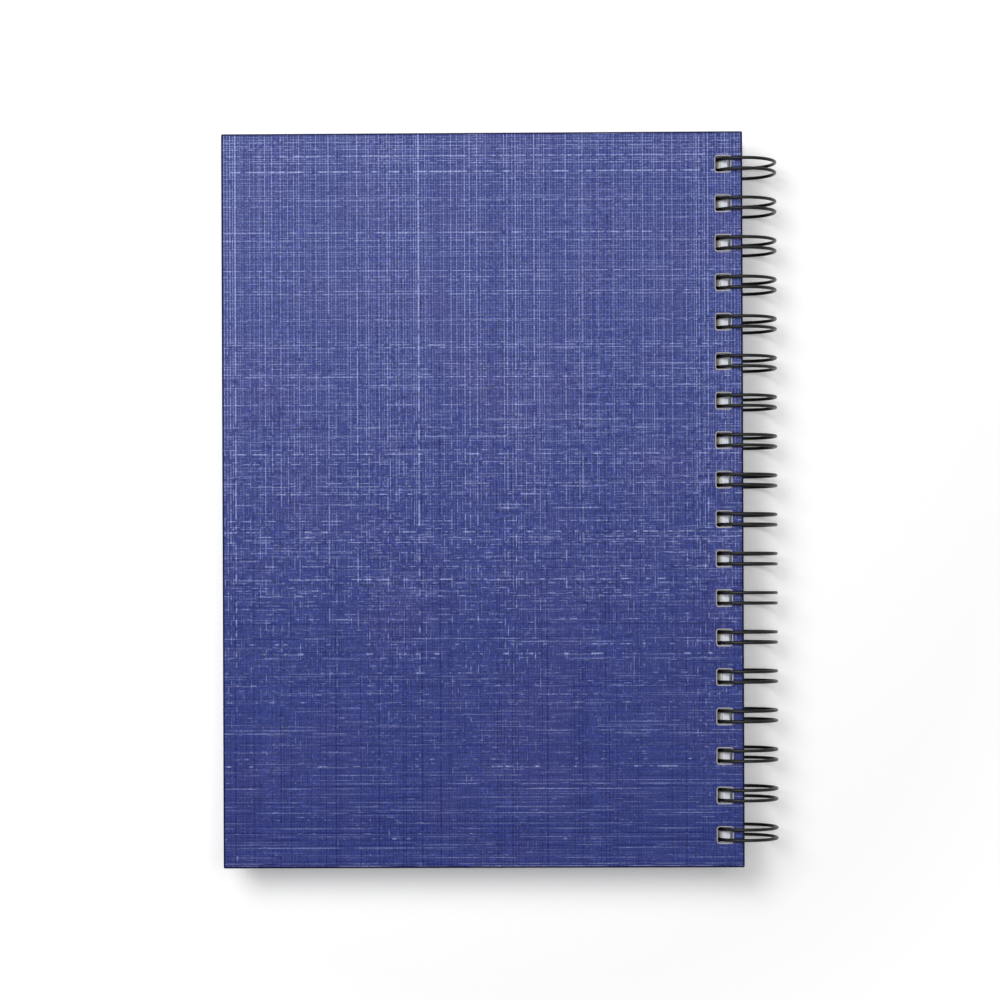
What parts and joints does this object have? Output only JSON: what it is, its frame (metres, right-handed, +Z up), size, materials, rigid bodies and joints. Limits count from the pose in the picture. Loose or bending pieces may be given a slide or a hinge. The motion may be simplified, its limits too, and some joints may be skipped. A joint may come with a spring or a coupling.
{
  "type": "spiral notebook",
  "caption": "Hard-cover notebook bound along one long edge with a black twin-loop wire; linen-embossed navy covers open round the wire.",
  "frame": {"origin": "on the table, under the middle of the lying book's box", "axes": "+Z up out of the back cover, +Y along the spine towards the head (top of the picture), +X towards the wire; the closed book slopes 0.73 degrees about Y because the wire loops lift its spine"},
  "size_m": [0.1798, 0.237, 0.0223],
  "materials": {
    "pages": "uncoated, matt",
    "greyboard": "matt, punched edge",
    "cover_paper": "linen-embossed, satin",
    "endpaper": "uncoated, matt",
    "wire": "gloss black coating"
  },
  "bodies": {
    "pages": {"page_block": "pages"},
    "front_cover": {"front_board": "greyboard", "front_wrap": "cover_paper", "front_endpaper": "endpaper", "wire_binding": "wire"},
    "back_cover": {"back_board": "greyboard", "back_wrap": "cover_paper", "back_endpaper": "endpaper"}
  },
  "joints": [
    {"name": "front_cover_hinge", "type": "hinge", "parent": "pages", "child": "front_cover", "pos_m": [0.07876, 0, 0.01115], "axis": [0, -1, 0], "range_deg": [0, 180]},
    {"name": "back_cover_hinge", "type": "hinge", "parent": "pages", "child": "back_cover", "pos_m": [0.07876, 0, 0.01115], "axis": [0, 1, 0], "range_deg": [0, 180]}
  ]
}
